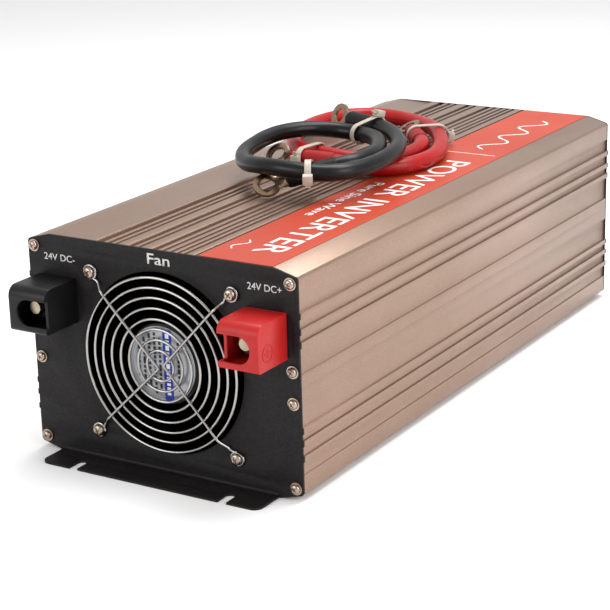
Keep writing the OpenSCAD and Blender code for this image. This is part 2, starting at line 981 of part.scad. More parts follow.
// Places a lug: its plate in the XY plane and its barrel along +X before it is turned.
module at_lug(place) {
    translate([place[0][0], front_y + place[0][1], case_h + place[0][2]])
        rotate([0, place[2], place[1]])
            rotate([place[3], 0, 0])
                children();
}

module lug() {
    difference() {
        union() {
            translate([0, 0, -lug_plate_t / 2])
                cylinder(d = lug_ring_d, h = lug_plate_t);
            translate([3, -5.5, -lug_plate_t / 2])
                cube([12, 11, lug_plate_t]);
            translate([11, 0, 0])
                rotate([0, 90, 0])
                    cylinder(r1 = 3, r2 = lug_barrel_r, h = 4);
            translate([15, 0, 0])
                rotate([0, 90, 0])
                    cylinder(r = lug_barrel_r, h = lug_l - 15);
        }
        translate([0, 0, -5])
            cylinder(d = lug_hole_d, h = 10);
    }
}

module sleeve() {
    translate([sleeve_start, 0, 0])
        rotate([0, 90, 0])
            difference() {
                cylinder(r = sleeve_r, h = sleeve_l);
                translate([0, 0, -1])
                    cylinder(r = cable_r + 0.15, h = sleeve_l + 2);
            }
}

// The end of the cable inside a lug's sleeve, and the point where it leaves the sleeve.
function lug_point(place, along) = [
    place[0][0] + along * cos(place[2]) * cos(place[1]),
    place[0][1] + along * cos(place[2]) * sin(place[1]),
    place[0][2] - along * sin(place[2])
];

function unit(v) = v / norm(v);

// Rings of a tube along a route, with the side direction kept level.
function tube_rings(route, r, sides) = [
    for (i = [0 : len(route) - 1])
        let(
            ahead = route[min(i + 1, len(route) - 1)],
            behind = route[max(i - 1, 0)],
            tangent = unit(ahead - behind),
            side = unit(cross([0, 0, 1], tangent)),
            up = cross(tangent, side)
        )
        [for (k = [0 : sides - 1])
            route[i] + r * (cos(360 * k / sides) * side + sin(360 * k / sides) * up)]
];

module tube(route, r, sides) {
    rings = tube_rings(route, r, sides);
    n = len(route);
    points = [for (ring = rings) for (p = ring) p];
    walls = [
        for (i = [0 : n - 2], k = [0 : sides - 1])
            let(a = i * sides + k, b = i * sides + (k + 1) % sides)
            [a, b, b + sides, a + sides]
    ];
    first = [[for (k = [0 : sides - 1]) sides - 1 - k]];
    last = [[for (k = [0 : sides - 1]) (n - 1) * sides + k]];
    polyhedron(points, concat(first, walls, last));
}

function full_route(start, middle, end) = concat(
    [for (s = [lug_l, sleeve_end, sleeve_end + 4]) lug_point(start, s)],
    middle,
    [for (s = [sleeve_end + 4, sleeve_end, lug_l]) lug_point(end, s)]
);

module cable(start, middle, end) {
    translate([0, front_y, case_h])
        tube(full_route(start, middle, end), cable_r, 10);
}

// Nylon tie round two strands: a stadium loop from point a to point b, its head beyond a.
module tie(a, b, r) {
    strap = 1;
    d = b - a;
    across = norm(d);
    middle = (a + b) / 2;
    translate([middle[0], front_y + middle[1], case_h + middle[2]])
        rotate([0, 0, atan2(d[1], d[0]) - 90])
            rotate([asin(d[2] / across), 0, 0]) {
                translate([-2.4, 0, 0])
                    rotate([90, 0, 90])
                        linear_extrude(4.8)
                            difference() {
                                tie_loop(across, r + strap);
                                tie_loop(across, r);
                            }
                translate([-3.8, -across / 2 - r - strap - 4.4, -3.8])
                    cube([7.6, 4.8, 7.6]);
            }
}

module tie_loop(across, r) {
    square([across, 2 * r], center = true);
    for (s = [-1, 1])
        translate([s * across / 2, 0])
            circle(r);
}

module red_cable() {
    color("#b41414")
        cable(red_lug_a, red_route, red_lug_b);
}

module red_lugs() {
    color("#b98a6a")
        for (place = [red_lug_a, red_lug_b])
            at_lug(place)
                lug();
}

module red_sleeves() {
    color("#a01414")
        for (place = [red_lug_a, red_lug_b])
            at_lug(place)
                sleeve();
}

module red_ties() {
    color("#e6e2da") {
        tie([-26.5, 214.6, 8.6], [-25.2, 232.9, 8.2], sleeve_r + 0.3);
        tie([25.6, 319.4, 8.8], [13.3, 309.6, 8.8], sleeve_r + 0.3);
    }
}

module black_cable() {
    color("#141414")
        cable(black_lug_a, black_route, black_lug_b);
}

module black_lugs() {
    color("#b98a6a")
        for (place = [black_lug_a, black_lug_b])
            at_lug(place)
                lug();
}

module black_sleeves() {
    color("#181818")
        for (place = [black_lug_a, black_lug_b])
            at_lug(place)
                sleeve();
}

module black_ties() {
    color("#e6e2da") {
        tie([22.5, 141.2, 19.3], [11.4, 161.7, 13.2], sleeve_r + 1.1);
        tie([-3.1, 278.6, 20.5], [-9.6, 265.9, 17], cable_r + 0.9);
    }
}

top_case();
bottom_case();
front_plate();
rear_plate();
front_screws();
front_washers();
rear_screws();
rear_washers();
top_label();
fan_guard();
fan_screws();
fan_nuts();
fan_frame();
fan_bearings();
fan_stator();
fan_sticker();
fan_lead();
fan_rotor();
fan_magnet();
fan_shaft();
terminal_blocks();
terminal_studs();
terminal_nuts();
terminal_washers();
positive_cover();
negative_cover();
busbars();
main_board();
board_standoffs();
board_screws();
transformers();
transformer_windings();
input_capacitors();
output_capacitors();
output_inductor();
heat_sink_bars();
transistors();
fuses();
control_board();
ac_outlets();
ac_contacts();
ac_harness();
switch_frame();
switch_rocker();
indicator_lights();
remote_socket();
ground_stud();
ground_nut();
red_cable();
red_lugs();
red_sleeves();
red_ties();
black_cable();
black_lugs();
black_sleeves();
black_ties();
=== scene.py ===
"""Looks of a power inverter with two tied battery cables lying on its lid.

Everything is in metres and in the frame's own axes: +X to the right seen from the fan end, +Y from
the fan end to the outlet end, +Z up. Places come from the frame's boxes.
"""

import math
import random

import bmesh
import bpy
from mathutils import Matrix, Vector


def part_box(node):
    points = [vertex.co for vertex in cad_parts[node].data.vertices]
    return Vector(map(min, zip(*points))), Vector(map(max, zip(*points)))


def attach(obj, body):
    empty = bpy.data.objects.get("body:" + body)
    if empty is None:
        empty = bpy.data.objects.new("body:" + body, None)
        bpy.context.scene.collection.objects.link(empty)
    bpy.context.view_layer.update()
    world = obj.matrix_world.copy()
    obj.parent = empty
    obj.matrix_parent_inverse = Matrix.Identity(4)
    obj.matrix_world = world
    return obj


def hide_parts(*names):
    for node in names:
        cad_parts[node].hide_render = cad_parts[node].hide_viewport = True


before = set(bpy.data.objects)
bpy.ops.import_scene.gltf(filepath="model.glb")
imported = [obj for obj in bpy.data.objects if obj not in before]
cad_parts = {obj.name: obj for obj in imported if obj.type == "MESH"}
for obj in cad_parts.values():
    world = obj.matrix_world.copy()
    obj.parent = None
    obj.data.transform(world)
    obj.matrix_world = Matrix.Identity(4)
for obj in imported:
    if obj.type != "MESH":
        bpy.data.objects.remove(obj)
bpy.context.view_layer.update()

# ------------------------------------------------------------------ places

PLATE_T = 0.0015
LID_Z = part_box("top_case")[1].z
MID_Z = LID_Z / 2
FRONT_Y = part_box("top_case")[0].y - PLATE_T
REAR_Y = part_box("top_case")[1].y + PLATE_T
LABEL_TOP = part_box("top_label")[1].z
FAN_X = 0.0013
FAN = Vector((FAN_X, FRONT_Y, MID_Z))
FRONT_MIDDLE = Vector((0, FRONT_Y, MID_Z))
CABLE_D = 0.0115

# Each lug: ring centre (x, y from the front plate, height above the lid), heading, pitch, roll.
LUGS = {
    "red_lug_one": ((-0.0485, 0.2165, 0.0086), -5, 0, 40),
    "red_lug_two": ((-0.0053, 0.3314, 0.0088), -51.5, 0, 25),
    "black_lug_one": ((-0.01, 0.141, 0.0074), 44, -11, 38),
    "black_lug_two": ((-0.0454, 0.299, 0.0205), -25.8, 0, 68),
}
RED_ROUTE = [
    (0.014, 0.2118, 0.0078), (0.022, 0.213, 0.0071), (0.0315, 0.217, 0.0067),
    (0.0403, 0.2235, 0.0067), (0.0465, 0.2325, 0.0067), (0.0496, 0.2445, 0.0067),
    (0.0503, 0.2578, 0.0067), (0.0485, 0.2715, 0.0067), (0.0445, 0.285, 0.0072),
    (0.038, 0.2995, 0.008), (0.0285, 0.3155, 0.0088), (0.016, 0.3325, 0.0088),
    (0.001, 0.3485, 0.0076), (-0.017, 0.3605, 0.0067), (-0.037, 0.3675, 0.0067),
    (-0.054, 0.368, 0.0067), (-0.068, 0.3615, 0.0067), (-0.077, 0.3495, 0.0067),
    (-0.081, 0.3325, 0.0067), (-0.081, 0.313, 0.0067), (-0.077, 0.293, 0.0067),
    (-0.07, 0.2745, 0.0067), (-0.06, 0.2575, 0.0067), (-0.0465, 0.243, 0.0072),
    (-0.031, 0.2347, 0.0081), (-0.0155, 0.2316, 0.0081), (0, 0.232, 0.0072),
    (0.0135, 0.2366, 0.0067), (0.0237, 0.2452, 0.0067), (0.03, 0.2568, 0.0067),
    (0.0327, 0.27, 0.0074), (0.0312, 0.282, 0.0084),
]
BLACK_ROUTE = [
    (0.0311, 0.1815, 0.0182), (0.0337, 0.1878, 0.0187), (0.035, 0.195, 0.019),
    (0.035, 0.203, 0.0191), (0.0334, 0.212, 0.0192), (0.0296, 0.2224, 0.0192),
    (0.0236, 0.234, 0.0192), (0.0156, 0.2458, 0.019), (0.0052, 0.2566, 0.018),
    (-0.0072, 0.265, 0.017), (-0.0215, 0.2675, 0.0172), (-0.036, 0.2632, 0.0184),
    (-0.0475, 0.2535, 0.0196), (-0.056, 0.2393, 0.0198), (-0.06, 0.2225, 0.019),
    (-0.0605, 0.2045, 0.017), (-0.057, 0.1876, 0.016), (-0.0486, 0.1719, 0.0158),
    (-0.0366, 0.1578, 0.0164), (-0.0218, 0.147, 0.0188), (-0.0045, 0.1406, 0.0203),
    (0.013, 0.1395, 0.0202), (0.028, 0.1428, 0.0192), (0.0397, 0.15, 0.0192),
    (0.0463, 0.163, 0.0192), (0.0488, 0.1786, 0.0192), (0.0484, 0.1954, 0.0192),
    (0.0459, 0.212, 0.0192), (0.0411, 0.2286, 0.0193), (0.0336, 0.2438, 0.0196),
    (0.0232, 0.2576, 0.0202), (0.0126, 0.2684, 0.0205),
]
LUG_L = 0.030
SLEEVE_START = 0.013
SLEEVE_END = 0.049

# ------------------------------------------------------------------ camera, light and floor

CAMERA_FROM_FAN = Vector((0.6466, -0.8726, 0.3814))
CAMERA_TURN, CAMERA_DOWN, CAMERA_ROLL = 31.84, 17.73, -1.63
LENS, SENSOR = 109.9, 36.0


def look_through_camera():
    data = bpy.data.cameras.new("camera")
    data.lens = LENS
    data.sensor_width = SENSOR
    data.clip_end = 50
    camera = bpy.data.objects.new("camera", data)
    bpy.context.scene.collection.objects.link(camera)
    turn = Matrix.Rotation(math.radians(CAMERA_TURN), 4, "Z")
    tilt = Matrix.Rotation(math.radians(90 - CAMERA_DOWN), 4, "X")
    roll = Matrix.Rotation(math.radians(CAMERA_ROLL), 4, "Z")
    camera.matrix_world = Matrix.Translation(FRONT_MIDDLE + CAMERA_FROM_FAN) @ turn @ tilt @ roll
    bpy.context.scene.camera = camera


def soft_light(name, place, aim, size, watts):
    data = bpy.data.lights.new(name, "AREA")
    data.shape = "RECTANGLE"
    data.size, data.size_y = size
    data.energy = watts
    lamp = bpy.data.objects.new(name, data)
    bpy.context.scene.collection.objects.link(lamp)
    lamp.location = place
    lamp.rotation_euler = (Vector(aim) - Vector(place)).to_track_quat("-Z", "Y").to_euler()


def light_studio():
    world = bpy.data.worlds.new("studio")
    bpy.context.scene.world = world
    world.use_nodes = True
    world.node_tree.nodes["Background"].inputs["Color"].default_value = (1, 1, 1, 1)
    world.node_tree.nodes["Background"].inputs["Strength"].default_value = 0.75
    soft_light("top_softbox", (0.1, 0.35, 1.4), (0, 0, 0.1), (1.3, 0.7), 22)
    soft_light("side_softbox", (1.5, -0.3, 0.8), (0, 0, 0.08), (0.9, 1.1), 14)
    soft_light("front_softbox", (-0.7, -1.5, 0.7), (0, -0.1, 0.08), (1.0, 0.7), 9)


# ------------------------------------------------------------------ modelling by hand


def deselect():
    if bpy.context.object and bpy.context.object.mode != "OBJECT":
        bpy.ops.object.mode_set(mode="OBJECT")
    bpy.ops.object.select_all(action="DESELECT")


def take(piece):
    deselect()
    piece.select_set(True)
    bpy.context.view_layer.objects.active = piece


def edit(piece, everything=True):
    take(piece)
    bpy.ops.object.mode_set(mode="EDIT")
    bpy.ops.mesh.select_all(action="SELECT" if everything else "DESELECT")


def added(name):
    """The piece that an operator has just added, with its place in its mesh."""
    piece = bpy.context.active_object
    piece.name = name
    piece.data.name = name
    bpy.ops.object.transform_apply(location=True, rotation=True, scale=True)
    return piece


def pick_faces(piece, wanted):
    """In edit mode, selects the faces whose centre and normal pass the test."""
    bpy.ops.mesh.select_mode(type="FACE")
    bpy.ops.mesh.select_all(action="DESELECT")
    shape = bmesh.from_edit_mesh(piece.data)
    for face in shape.faces:
        face.select_set(wanted(face.calc_center_median(), face.normal))
    bmesh.update_edit_mesh(piece.data)


def apply_modifier(piece, kind, **settings):
    take(piece)
    modifier = piece.modifiers.new(kind.lower(), kind)
    for key, value in settings.items():
        setattr(modifier, key, value)
    bpy.ops.object.modifier_apply(modifier=modifier.name)


def round_edges(piece, width, segments=2, angle=30):
    apply_modifier(
        piece, "BEVEL", width=width, segments=segments, limit_method="ANGLE",
        angle_limit=math.radians(angle), use_clamp_overlap=True, miter_outer="MITER_ARC",
    )


def cut_with(piece, tool):
    apply_modifier(piece, "BOOLEAN", operation="DIFFERENCE", object=tool, solver="EXACT")
    bpy.data.objects.remove(tool, do_unlink=True)


def face_outwards(piece):
    edit(piece)
    bpy.ops.mesh.remove_doubles(threshold=1e-6)
    bpy.ops.mesh.normals_make_consistent(inside=False)
    deselect()


def moved(piece, matrix):
    piece.data.transform(matrix)
    piece.data.update()
    return piece


def copy_of(piece, name, matrix):
    twin = bpy.data.objects.new(name, piece.data.copy())
    bpy.context.scene.collection.objects.link(twin)
    return moved(twin, matrix)


def joined(pieces, name):
    deselect()
    for piece in pieces:
        piece.select_set(True)
    bpy.context.view_layer.objects.active = pieces[0]
    if len(pieces) > 1:
        bpy.ops.object.join()
    pieces[0].name = name
    pieces[0].data.name = name
    return pieces[0]


def finished(piece, material, body, replaces=(), smooth=35):
    """Gives a piece its finish, its shading, the body it rides on and the nodes it stands for."""
    piece.data.materials.clear()
    piece.data.materials.append(material)
    take(piece)
    if piece.type == "MESH" and smooth:
        bpy.ops.object.shade_smooth_by_angle(angle=math.radians(smooth))
    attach(piece, body)
    if replaces:
        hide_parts(*replaces)
    return piece


def turned(name, profile, sides=48):
    """A solid of (distance along Z, radius) steps, extruded from a disc."""
    deselect()
    (z, radius), steps = profile[0], profile[1:]
    bpy.ops.mesh.primitive_circle_add(
        vertices=sides, radius=radius, fill_type="NGON", location=(0, 0, z)
    )
    piece = added(name)
    edit(piece)
    for next_z, next_radius in steps:
        bpy.ops.mesh.extrude_region_move(TRANSFORM_OT_translate={"value": (0, 0, next_z - z)})
        scale = next_radius / radius
        bpy.ops.transform.resize(value=(scale, scale, 1), center_override=(0, 0, next_z))
        z, radius = next_z, next_radius
    deselect()
    face_outwards(piece)
    return piece


def box_between(name, low, high):
    deselect()
    low, high = Vector(low), Vector(high)
    bpy.ops.mesh.primitive_cube_add(size=1, location=(low + high) / 2, scale=high - low)
    return added(name)


def wire_along(name, points, radius):
    """A round wire on one smooth line through given points, made a mesh."""
    curve = bpy.data.curves.new(name, "CURVE")
    curve.dimensions = "3D"
    curve.bevel_depth = radius
    curve.bevel_resolution = 4
    curve.resolution_u = 8
    curve.use_fill_caps = True
    line = curve.splines.new("NURBS")
    line.points.add(len(points) - 1)
    for knot, point in zip(line.points, points):
        knot.co = (*point, 1)
    line.order_u = 3
    line.use_endpoint_u = True
    piece = bpy.data.objects.new(name, curve)
    bpy.context.scene.collection.objects.link(piece)
    take(piece)
    bpy.ops.object.convert(target="MESH")
    return bpy.context.active_object


def softened(node, width, material, body="inverter", segments=2, angle=30):
    """A copy of a node's mesh with its sharp edges rounded, which stands for the node."""
    piece = bpy.data.objects.new(node + "_shape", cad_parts[node].data.copy())
    bpy.context.scene.collection.objects.link(piece)
    edit(piece)
    bpy.ops.mesh.customdata_custom_splitnormals_clear()
    bpy.ops.mesh.remove_doubles(threshold=1e-6)
    bpy.ops.mesh.dissolve_limited(angle_limit=math.radians(1.5))
    deselect()
    round_edges(piece, width, segments, angle)
    return finished(piece, material, body, replaces=[node])


def facing_front(place):
    """Turns what stands on +Z to point along -Y, and takes it to its place."""
    return Matrix.Translation(place) @ Matrix.Rotation(math.radians(90), 4, "X")


def facing_rear(place):
    return Matrix.Translation(place) @ Matrix.Rotation(math.radians(-90), 4, "X")


# ------------------------------------------------------------------ finishes


def srgb(red, green, blue):
    def linear(level):
        level /= 255
        return level / 12.92 if level <= 0.04045 else ((level + 0.055) / 1.055) ** 2.4

    return linear(red), linear(green), linear(blue), 1.0


def add_node(tree, kind, inputs=None, **settings):
    node = tree.nodes.new(kind)
    for key, value in settings.items():
        setattr(node, key, value)
    for key, value in (inputs or {}).items():
        socket = node.inputs[key]
        if isinstance(value, bpy.types.NodeSocket):
            tree.links.new(value, socket)
        else:
            socket.default_value = value
    return node


def new_group(name, inputs, outputs):
    tree = bpy.data.node_groups.new(name, "ShaderNodeTree")
    for label, kind, value in inputs:
        socket = tree.interface.new_socket(name=label, in_out="INPUT", socket_type=kind)
        if value is not None:
            socket.default_value = value
    for label, kind in outputs:
        tree.interface.new_socket(name=label, in_out="OUTPUT", socket_type=kind)
    return tree, add_node(tree, "NodeGroupInput").outputs, add_node(tree, "NodeGroupOutput").inputs


FLOAT, COLOUR, VECTOR = "NodeSocketFloat", "NodeSocketColor", "NodeSocketVector"


def grain_group():
    """Fine bumps of a coat or a moulded skin, and the flecks in it."""
    tree, given, out = new_group(
        "fine grain", [("Vector", VECTOR, None), ("Grains per Metre", FLOAT, 1500.0)],
        [("Height", FLOAT), ("Flecks", FLOAT)],
    )
    bumps = add_node(tree, "ShaderNodeTexNoise", {
        "Vector": given["Vector"], "Scale": given["Grains per Metre"], "Detail": 3.0, "Roughness": 0.6})
    cells = add_node(tree, "ShaderNodeTexVoronoi", {
        "Vector": given["Vector"], "Scale": given["Grains per Metre"]})
    tree.links.new(bumps.outputs["Fac"], out["Height"])
    split = add_node(tree, "ShaderNodeSeparateColor", {"Color": cells.outputs["Color"]})
    tree.links.new(split.outputs["Red"], out["Flecks"])
    return tree


def patches_group():
    """Broad, faint changes of colour and gloss, as handling and dust leave."""
    tree, given, out = new_group(
        "broad patches",
        [("Vector", VECTOR, None), ("Colour", COLOUR, None), ("Patches per Metre", FLOAT, 12.0),
         ("Darkening", FLOAT, 0.1), ("Roughness", FLOAT, 0.5), ("Gloss Change", FLOAT, 0.08)],
        [("Colour", COLOUR), ("Roughness", FLOAT)],
    )
    cloud = add_node(tree, "ShaderNodeTexNoise", {
        "Vector": given["Vector"], "Scale": given["Patches per Metre"], "Detail": 4.0, "Roughness": 0.62})
    spread = add_node(tree, "ShaderNodeMapRange", {
        "Value": cloud.outputs["Fac"], "From Min": 0.3, "From Max": 0.7, "To Min": 0.0, "To Max": 1.0})
    dark = add_node(tree, "ShaderNodeMath", {0: spread.outputs["Result"], 1: given["Darkening"]},
                    operation="MULTIPLY")
    shade = add_node(tree, "ShaderNodeMath", {0: 1.0, 1: dark.outputs["Value"]}, operation="SUBTRACT")
    colour = add_node(tree, "ShaderNodeVectorMath",
                      {0: given["Colour"], "Scale": shade.outputs["Value"]}, operation="SCALE")
    swing = add_node(tree, "ShaderNodeMath", {0: cloud.outputs["Fac"], 1: 0.5}, operation="SUBTRACT")
    gloss = add_node(tree, "ShaderNodeMath", {
        0: swing.outputs["Value"], 1: given["Gloss Change"], 2: given["Roughness"]}, operation="MULTIPLY_ADD")
    tree.links.new(colour.outputs["Vector"], out["Colour"])
    tree.links.new(gloss.outputs["Value"], out["Roughness"])
    return tree


GRAIN = grain_group()
PATCHES = patches_group()


def finish(name, colour, roughness, metallic=0.0, grain=1500.0, depth=0.00002, darkening=0.12,
           gloss_change=0.12, patches=14.0, flecks=0.0, stretch=(1, 1, 1), coat=0.0,
           transmission=0.0, subsurface=0.0, shine=0.5):
    """A surface with fine grain, broad patches and, if it is asked for, flecks and drawn lines."""
    material = bpy.data.materials.new(name)
    material.use_nodes = True
    tree = material.node_tree
    surface = tree.nodes["Principled BSDF"]
    surface.inputs["Metallic"].default_value = metallic
    surface.inputs["Coat Weight"].default_value = coat
    surface.inputs["Coat Roughness"].default_value = 0.12
    surface.inputs["Transmission Weight"].default_value = transmission
    surface.inputs["Subsurface Weight"].default_value = subsurface
    surface.inputs["Subsurface Radius"].default_value = (0.004, 0.004, 0.004)
    surface.inputs["Specular IOR Level"].default_value = shine
    place = add_node(tree, "ShaderNodeTexCoord").outputs["Object"]
    drawn = add_node(tree, "ShaderNodeMapping", {"Vector": place, "Scale": stretch}).outputs["Vector"]
    fine = add_node(tree, "ShaderNodeGroup", node_tree=GRAIN)
    tree.links.new(drawn, fine.inputs["Vector"])
    fine.inputs["Grains per Metre"].default_value = grain
    broad = add_node(tree, "ShaderNodeGroup", node_tree=PATCHES)
    tree.links.new(drawn if stretch != (1, 1, 1) else place, broad.inputs["Vector"])
    broad.inputs["Colour"].default_value = colour
    broad.inputs["Patches per Metre"].default_value = patches
    broad.inputs["Darkening"].default_value = darkening
    broad.inputs["Roughness"].default_value = roughness
    broad.inputs["Gloss Change"].default_value = gloss_change
    paint = broad.outputs["Colour"]
    if flecks:
        lift = add_node(tree, "ShaderNodeMapRange", {
            "Value": fine.outputs["Flecks"], "To Min": 1.0 - flecks, "To Max": 1.0 + flecks})
        paint = add_node(tree, "ShaderNodeVectorMath",
                         {0: paint, "Scale": lift.outputs["Result"]}, operation="SCALE").outputs["Vector"]
    tree.links.new(paint, surface.inputs["Base Color"])
    tree.links.new(broad.outputs["Roughness"], surface.inputs["Roughness"])
    bump = add_node(tree, "ShaderNodeBump", {
        "Height": fine.outputs["Height"], "Strength": 1.0, "Distance": depth})
    tree.links.new(bump.outputs["Normal"], surface.inputs["Normal"])
    return material


CHAMPAGNE = finish("champagne_coat", srgb(152, 126, 110), 0.34, metallic=0.72, grain=1800,
                   depth=0.000012, darkening=0.12, flecks=0.10, patches=9)
LABEL_FILM = finish("coral_film", srgb(182, 62, 36), 0.42, metallic=0.12, grain=2600,
                    depth=0.000008, darkening=0.16, flecks=0.08, patches=10, shine=0.3)
LABEL_INK = finish("white_ink", srgb(222, 228, 226), 0.45, grain=2200, depth=0.000006, darkening=0.04)
PANEL_INK = finish("panel_ink", srgb(206, 206, 200), 0.55, grain=2200, depth=0.000012, darkening=0.1)
BLACK_COAT = finish("black_powder_coat", srgb(20, 17, 17), 0.55, grain=900, depth=0.00012,
                    darkening=0.25, gloss_change=0.16, flecks=0.5, shine=0.22)
SCREW_NICKEL = finish("warm_nickel", srgb(178, 160, 146), 0.26, metallic=1.0, grain=2400,
                      depth=0.000008, darkening=0.22, patches=90)
GUARD_CHROME = finish("guard_chrome", srgb(176, 172, 168), 0.2, metallic=1.0, grain=1600,
                      depth=0.000008, darkening=0.25, patches=60)
FAN_PLASTIC = finish("fan_plastic", srgb(11, 11, 12), 0.42, grain=1800, depth=0.00002, shine=0.22)
STEEL = finish("ground_steel", srgb(176, 176, 180), 0.28, metallic=1.0, grain=1800, depth=0.000008,
               stretch=(1, 12, 1))
COPPER = finish("enamelled_copper", srgb(168, 92, 44), 0.3, metallic=0.9, grain=1600,
                depth=0.00003, stretch=(1, 1, 6), coat=0.5)
FOIL = finish("sticker_foil", srgb(158, 160, 164), 0.34, metallic=0.75, grain=1200, depth=0.00001,
              darkening=0.2, patches=60)
BLUE_INK = finish("blue_ink", srgb(28, 44, 150), 0.4, grain=1800, depth=0.000006, shine=0.3)
BLACK_INK = finish("black_ink", srgb(26, 26, 32), 0.45, grain=1800, depth=0.000006, shine=0.3)
RIM_INK = finish("rim_ink", srgb(70, 72, 84), 0.45, grain=1800, depth=0.000006, shine=0.3)
LEAD_SKIN = finish("lead_skin", srgb(158, 20, 20), 0.45, grain=900, depth=0.00002, shine=0.3)
MAGNET = finish("magnet_ring", srgb(60, 60, 62), 0.6, metallic=0.3, grain=1400, depth=0.00004)
STUD_METAL = finish("stud_plating", srgb(176, 162, 140), 0.26, metallic=1.0, grain=1500,
                    depth=0.000012, darkening=0.3, patches=120)
COVER_RED = finish("red_cover", srgb(172, 24, 22), 0.4, grain=700, depth=0.00006, darkening=0.14,
                   gloss_change=0.2, patches=40, subsurface=0.05, shine=0.32)
COVER_BLACK = finish("black_cover", srgb(15, 14, 15), 0.4, grain=700, depth=0.00006, darkening=0.2,
                     gloss_change=0.2, patches=40, shine=0.26)
BUSBAR = finish("busbar_copper", srgb(182, 112, 70), 0.32, metallic=1.0, grain=1500,
                depth=0.00001, stretch=(8, 1, 8))
BOARD = finish("board_mask", srgb(20, 74, 42), 0.3, grain=500, depth=0.00003, flecks=0.12)
BRASS = finish("turned_brass", srgb(190, 164, 92), 0.26, metallic=1.0, grain=1600, depth=0.00001)
FERRITE = finish("ferrite_core", srgb(58, 58, 62), 0.62, grain=1200, depth=0.00004)
TAPE = finish("winding_tape", srgb(200, 174, 70), 0.42, grain=900, depth=0.00003, stretch=(1, 1, 5))
CAN_SLEEVE = finish("can_sleeve", srgb(26, 38, 70), 0.34, grain=1200, depth=0.00001, coat=0.3)
SINK = finish("mill_aluminium", srgb(150, 150, 154), 0.36, metallic=1.0, grain=1200,
              depth=0.00002, stretch=(10, 1, 10))
CHIP = finish("moulded_chip", srgb(22, 22, 24), 0.55, grain=1600, depth=0.00003, shine=0.3)
FUSE = finish("fuse_body", srgb(48, 128, 64), 0.3, grain=1200, depth=0.00001, coat=0.2)
OUTLET = finish("outlet_plastic", srgb(20, 20, 21), 0.3, grain=900, depth=0.00003, coat=0.08, shine=0.3)
HARNESS = finish("harness_skin", srgb(120, 74, 36), 0.45, grain=900, depth=0.00002)
ROCKER = finish("rocker_red", srgb(152, 16, 16), 0.28, grain=1200, depth=0.00001, coat=0.1, shine=0.3)
LENS_GREEN = finish("lamp_lens", srgb(60, 160, 52), 0.15, grain=900, depth=0.00001, coat=0.4,
                    transmission=0.3)
SOCKET = finish("socket_plastic", srgb(26, 26, 30), 0.45, grain=1200, depth=0.00002, shine=0.3)
JACKET_RED = finish("red_jacket", srgb(158, 10, 10), 0.36, grain=420, depth=0.00005, darkening=0.22,
                    gloss_change=0.3, patches=45, flecks=0.06, shine=0.3)
JACKET_BLACK = finish("black_jacket", srgb(12, 12, 13), 0.36, grain=420, depth=0.00005,
                      darkening=0.3, gloss_change=0.34, patches=45, flecks=0.1, shine=0.26)
TINNED = finish("tinned_copper", srgb(166, 138, 116), 0.3, metallic=1.0, grain=1400,
                depth=0.00002, darkening=0.3, patches=140, gloss_change=0.3)
SLEEVE_RED = finish("red_sleeve", srgb(146, 14, 13), 0.5, grain=600, depth=0.00004, darkening=0.2,
                    patches=70, gloss_change=0.25, shine=0.26)
SLEEVE_BLACK = finish("black_sleeve", srgb(11, 11, 12), 0.52, grain=600, depth=0.00004,
                      darkening=0.25, patches=70, gloss_change=0.25, shine=0.22)
NYLON = finish("natural_nylon", srgb(196, 186, 172), 0.34, grain=900, depth=0.00002,
               darkening=0.12, transmission=0.2, subsurface=0.2, shine=0.35)
FLOOR = finish("pale_floor", (0.9, 0.9, 0.9, 1), 0.7, grain=300, depth=0.00005, darkening=0.01)


# ------------------------------------------------------------------ cables


def above_lid(point):
    x, y, z = point
    return Vector((x, FRONT_Y + y, LID_Z + z))


def lug_frame(name):
    place, heading, pitch, roll = LUGS[name]
    return (
        Matrix.Translation(above_lid(place))
        @ Matrix.Rotation(math.radians(heading), 4, "Z")
        @ Matrix.Rotation(math.radians(pitch), 4, "Y")
        @ Matrix.Rotation(math.radians(roll), 4, "X")
    )


def cable(name, colour, route, material, body):
    """One cable from lug to lug, as a smooth line."""
    first, last = lug_frame(f"{colour}_lug_one"), lug_frame(f"{colour}_lug_two")
    ends = (LUG_L, SLEEVE_END, SLEEVE_END + 0.004)
    points = [first @ Vector((s, 0, 0)) for s in ends]
    points += [above_lid(p) for p in route]
    points += [last @ Vector((s, 0, 0)) for s in reversed(ends)]
    curve = bpy.data.curves.new(name, "CURVE")
    curve.dimensions = "3D"
    curve.bevel_depth = CABLE_D / 2
    curve.bevel_resolution = 7
    curve.resolution_u = 6
    curve.use_fill_caps = True
    line = curve.splines.new("BEZIER")
    line.bezier_points.add(len(points) - 1)
    for knot, point in zip(line.bezier_points, points):
        knot.co = point
        knot.handle_left_type = knot.handle_right_type = "AUTO"
    piece = bpy.data.objects.new(name, curve)
    bpy.context.scene.collection.objects.link(piece)
    finished(piece, material, body, replaces=[f"{colour}_cable"])
    length = sum((b - a).length for a, b in zip(points, points[1:]))
    return piece, points[0], length


